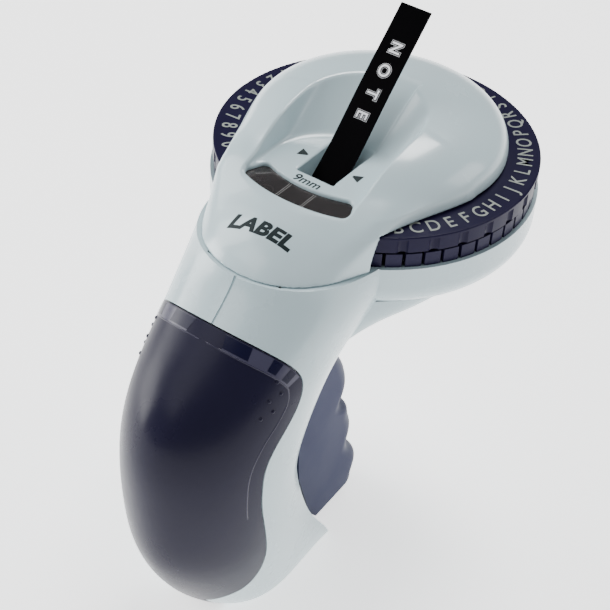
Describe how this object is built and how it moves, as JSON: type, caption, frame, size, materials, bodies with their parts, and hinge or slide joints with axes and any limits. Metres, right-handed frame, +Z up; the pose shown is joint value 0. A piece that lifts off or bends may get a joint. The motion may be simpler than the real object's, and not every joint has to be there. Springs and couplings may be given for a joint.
{
  "type": "label maker",
  "caption": "Hand-held embossing label maker with a turning letter dial, squeeze trigger, hinged tape door and flat foot.",
  "frame": {"origin": "centre of the flat foot's face, on the middle plane", "axes": "+Z up along the dial's axis, +X to the front, away from the tape door, +Y to the left"},
  "size_m": [0.138, 0.0872, 0.1492],
  "materials": {
    "shell_plastic": "glossy light grey-blue moulded plastic",
    "dial_plastic": "dark violet moulded plastic, satin",
    "door_plastic": "smoky translucent navy plastic",
    "lens_plastic": "smoky clear plastic",
    "trigger_plastic": "slate blue satin plastic",
    "acetal": "natural white acetal",
    "steel": "bright turned steel",
    "zinc_plate": "zinc plated sheet steel",
    "spring_steel": "drawn spring steel wire",
    "roller_rubber": "ground rubber",
    "tape_vinyl": "glossy black vinyl tape",
    "hub_plastic": "off-white moulded plastic"
  },
  "bodies": {
    "casing": {"left_shell": "shell_plastic", "right_shell": "shell_plastic", "top_cover": "shell_plastic", "window_lens": "lens_plastic", "base_frame": "zinc_plate", "dial_axle": "steel", "retaining_ring": "spring_steel", "detent_cup": "acetal", "detent_spring": "spring_steel", "pinion_shaft": "steel", "trigger_pin": "steel", "trigger_spring": "spring_steel", "hammer_pin": "steel", "pressure_pin": "steel", "pawl_pin": "steel", "tape_run": "tape_vinyl", "tape_guide": "acetal", "hinge_pin": "steel", "case_screws": "steel"},
    "dial": {"letter_dial": "dial_plastic"},
    "wheel": {"die_wheel": "dial_plastic", "embossing_dies": "acetal", "cutter_blade": "steel"},
    "pinion": {"sync_pinion": "acetal"},
    "detent": {"detent_ball": "steel"},
    "trigger": {"trigger": "trigger_plastic"},
    "hammer": {"hammer_lever": "steel"},
    "punch": {"punch": "steel"},
    "feed": {"feed_roller": "roller_rubber", "feed_axle": "steel", "ratchet_wheel": "acetal"},
    "pawl": {"feed_pawl": "steel"},
    "presser": {"pressure_roller": "acetal"},
    "spool": {"tape_roll": "tape_vinyl", "tape_hub": "hub_plastic"},
    "label": {"label_tape": "tape_vinyl"},
    "door": {"tape_door": "door_plastic"}
  },
  "joints": [
    {"name": "dial_turn", "type": "hinge", "parent": "casing", "child": "dial", "pos_m": [0.046, 0, 0.116], "axis": [0, 0, 1], "continuous": true},
    {"name": "wheel_turn", "type": "hinge", "parent": "casing", "child": "wheel", "pos_m": [0.046, 0, 0.108], "axis": [0, 0, 1], "continuous": true},
    {"name": "pinion_turn", "type": "hinge", "parent": "casing", "child": "pinion", "pos_m": [0.071, 0, 0.112], "axis": [0, 0, 1], "continuous": true},
    {"name": "detent_click", "type": "slide", "parent": "casing", "child": "detent", "axis": [0, 0, -1], "range_m": [0, 0.0006], "stiffness_N_per_m": 300, "springref_m": -0.0005, "deforming": ["detent_spring"]},
    {"name": "trigger_squeeze", "type": "hinge", "parent": "casing", "child": "trigger", "pos_m": [0.008, 0, 0.085], "axis": [0, 1, 0], "range_deg": [0, 12], "stiffness_Nm_per_rad": 0.4, "springref_deg": -8.59, "deforming": ["trigger_spring"]},
    {"name": "hammer_lift", "type": "hinge", "parent": "casing", "child": "hammer", "pos_m": [-0.006, 0, 0.092], "axis": [0, 1, 0], "range_deg": [-6.87, 0.1]},
    {"name": "punch_stroke", "type": "slide", "parent": "casing", "child": "punch", "axis": [0, 0, 1], "range_m": [0, 0.00147]},
    {"name": "feed_turn", "type": "hinge", "parent": "casing", "child": "feed", "pos_m": [-0.0009, 0, 0.1023], "axis": [0, 1, 0], "range_deg": [-0.1, 51.43]},
    {"name": "pawl_swing", "type": "hinge", "parent": "casing", "child": "pawl", "pos_m": [-0.006, 0, 0.0948], "axis": [0, 1, 0], "range_deg": [-6.3, 0.1]},
    {"name": "presser_turn", "type": "hinge", "parent": "casing", "child": "presser", "pos_m": [-0.00572, 0, 0.10728], "axis": [0, 1, 0], "range_deg": [-128.32, 0.1]},
    {"name": "spool_turn", "type": "hinge", "parent": "casing", "child": "spool", "pos_m": [-0.029, 0, 0.054], "axis": [0, 1, 0], "range_deg": [-15.58, 0.1]},
    {"name": "label_feed", "type": "slide", "parent": "casing", "child": "label", "axis": [0.7193, 0, 0.6947], "range_m": [0, 0.00405]},
    {"name": "door_open", "type": "hinge", "parent": "casing", "child": "door", "pos_m": [-0.0205, 0, 0.0035], "axis": [0, -1, 0], "range_deg": [0, 75]}
  ],
  "couplings": [
    {"joint": "wheel_turn", "follows": "dial_turn", "ratio": 1},
    {"joint": "pinion_turn", "follows": "dial_turn", "ratio": 6},
    {"joint": "hammer_lift", "follows": "trigger_squeeze", "ratio": -0.55556},
    {"joint": "punch_stroke", "follows": "trigger_squeeze", "m_per_rad": 0.0068889},
    {"joint": "feed_turn", "follows": "trigger_squeeze", "ratio": 4.2441},
    {"joint": "pawl_swing", "follows": "trigger_squeeze", "ratio": -0.5},
    {"joint": "presser_turn", "follows": "trigger_squeeze", "ratio": -10.61},
    {"joint": "spool_turn", "follows": "trigger_squeeze", "ratio": -1.2732},
    {"joint": "label_feed", "follows": "trigger_squeeze", "m_per_rad": 0.019099}
  ]
}
